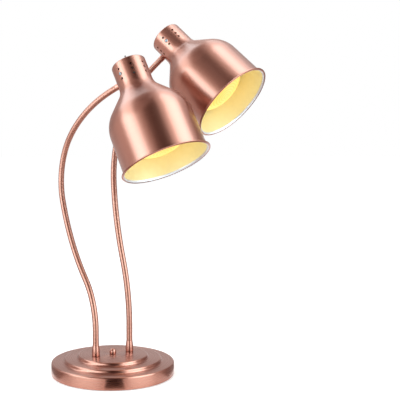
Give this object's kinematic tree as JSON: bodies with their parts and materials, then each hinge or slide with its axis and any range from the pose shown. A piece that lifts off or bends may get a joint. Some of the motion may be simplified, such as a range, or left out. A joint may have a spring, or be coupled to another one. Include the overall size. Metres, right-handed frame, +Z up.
{
  "type": "food heat lamp",
  "caption": "Table-top food heat lamp: a weighted stepped round base carries bendable goosenecks, each with a bell-shaped shade round a reflector bulb.",
  "frame": {"origin": "middle of the foot pad's underside, on the table", "axes": "+Z up along the axis of the round base, +X towards the side that both shades lean over, +Y towards the cable inlet at the back"},
  "size_m": [0.4211, 0.3239, 0.6866],
  "materials": {
    "copper_plated_steel": "copper-plated steel, turned and brushed round its axis, lacquered",
    "copper_shade": "spun aluminium with a brushed copper finish, lacquered",
    "copper_plated_hose": "wound steel hose, copper-plated",
    "copper_plated_brass": "turned brass, copper-plated and polished",
    "zinc_plated_steel": "bright zinc plate",
    "cast_iron": "sand cast, painted dark grey",
    "rubber": "moulded, matt black",
    "polyamide": "moulded, natural white",
    "brass": "rolled, bright",
    "porcelain": "glazed white porcelain",
    "reflector_glass": "frosted face, silvered reflector behind it",
    "contact_insulator": "black glass insulator with a soldered contact"
  },
  "bodies": {
    "base": {"base_cover": "copper_plated_steel", "foot_pad": "rubber", "bottom_plate": "zinc_plated_steel", "ballast_weight": "cast_iron", "plate_screw_1": "zinc_plated_steel", "plate_screw_2": "zinc_plated_steel", "plate_screw_3": "zinc_plated_steel", "plate_screw_4": "zinc_plated_steel", "tie_bolt": "zinc_plated_steel", "spacer_sleeve": "zinc_plated_steel", "cap_nut": "copper_plated_brass", "inlet_grommet": "rubber", "terminal_block": "polyamide", "front_ferrule": "copper_plated_brass", "front_foot_nut": "brass", "rear_ferrule": "copper_plated_brass", "rear_foot_nut": "brass", "front_gooseneck_1": "copper_plated_hose", "rear_gooseneck_1": "copper_plated_hose"},
    "front_arm_lower": {"front_gooseneck_2": "copper_plated_hose"},
    "front_arm_middle": {"front_gooseneck_3": "copper_plated_hose"},
    "front_arm_upper": {"front_gooseneck_4": "copper_plated_hose"},
    "front_head": {"front_gooseneck_5": "copper_plated_hose", "front_shade": "copper_shade", "front_arm_collar": "copper_plated_brass", "front_arm_nut": "brass", "front_holder_bracket": "zinc_plated_steel", "front_neck_screw_near": "zinc_plated_steel", "front_neck_screw_far": "zinc_plated_steel", "front_lampholder": "porcelain", "front_screw_shell": "brass", "front_centre_contact": "brass", "front_top_stud": "zinc_plated_steel", "front_top_nut": "zinc_plated_steel"},
    "front_bulb": {"front_bulb_glass": "reflector_glass", "front_bulb_cap": "brass", "front_bulb_pip": "contact_insulator"},
    "rear_arm_lower": {"rear_gooseneck_2": "copper_plated_hose"},
    "rear_arm_middle": {"rear_gooseneck_3": "copper_plated_hose"},
    "rear_arm_upper": {"rear_gooseneck_4": "copper_plated_hose"},
    "rear_head": {"rear_gooseneck_5": "copper_plated_hose", "rear_shade": "copper_shade", "rear_arm_collar": "copper_plated_brass", "rear_arm_nut": "brass", "rear_holder_bracket": "zinc_plated_steel", "rear_neck_screw_near": "zinc_plated_steel", "rear_neck_screw_far": "zinc_plated_steel", "rear_lampholder": "porcelain", "rear_screw_shell": "brass", "rear_centre_contact": "brass", "rear_top_stud": "zinc_plated_steel", "rear_top_nut": "zinc_plated_steel"},
    "rear_bulb": {"rear_bulb_glass": "reflector_glass", "rear_bulb_cap": "brass", "rear_bulb_pip": "contact_insulator"}
  },
  "joints": [
    {"name": "front_bend_1", "type": "hinge", "parent": "base", "child": "front_arm_lower", "pos_m": [-0.0314, -0.01842, 0.084], "axis": [0.859, 0.512, 0], "range_deg": [-5, 15]},
    {"name": "front_bend_2", "type": "hinge", "parent": "front_arm_lower", "child": "front_arm_middle", "pos_m": [-0.05307, 0.01793, 0.17751], "axis": [0.4213, -0.5134, 0.7476], "range_deg": [-5, 15]},
    {"name": "front_bend_3", "type": "hinge", "parent": "front_arm_middle", "child": "front_arm_upper", "pos_m": [-0.1073, 0.11616, 0.32575], "axis": [0.8373, 0.5432, -0.0614], "range_deg": [-10, 15]},
    {"name": "front_bend_4", "type": "hinge", "parent": "front_arm_upper", "child": "front_head", "pos_m": [-0.09132, 0.10577, 0.45178], "axis": [0.904, 0.0807, -0.4199], "range_deg": [-5, 15]},
    {"name": "front_bulb_unscrew", "type": "hinge", "parent": "front_head", "child": "front_bulb", "pos_m": [0.04986, 0.00294, 0.53959], "axis": [0.3404, -0.3163, -0.8855], "range_deg": [0, 900]},
    {"name": "rear_bend_1", "type": "hinge", "parent": "base", "child": "rear_arm_lower", "pos_m": [0.0314, 0.01842, 0.087], "axis": [0.81, 0.5864, 0], "range_deg": [-15, 5]},
    {"name": "rear_bend_2", "type": "hinge", "parent": "rear_arm_lower", "child": "rear_arm_middle", "pos_m": [0.01851, 0.03622, 0.2149], "axis": [0.7846, 0.6199, -0.0149], "range_deg": [-15, 5]},
    {"name": "rear_bend_3", "type": "hinge", "parent": "rear_arm_middle", "child": "rear_arm_upper", "pos_m": [-0.001, 0.08589, 0.35904], "axis": [0.0284, 0.9276, -0.3724], "range_deg": [-15, 15]},
    {"name": "rear_bend_4", "type": "hinge", "parent": "rear_arm_upper", "child": "rear_head", "pos_m": [0.01712, 0.14127, 0.49835], "axis": [0.7943, -0.6071, -0.0242], "range_deg": [-15, 10]},
    {"name": "rear_bulb_unscrew", "type": "hinge", "parent": "rear_head", "child": "rear_bulb", "pos_m": [0.14099, 0.1431, 0.6232], "axis": [0.6238, -0.4048, -0.6686], "range_deg": [0, 900]}
  ]
}
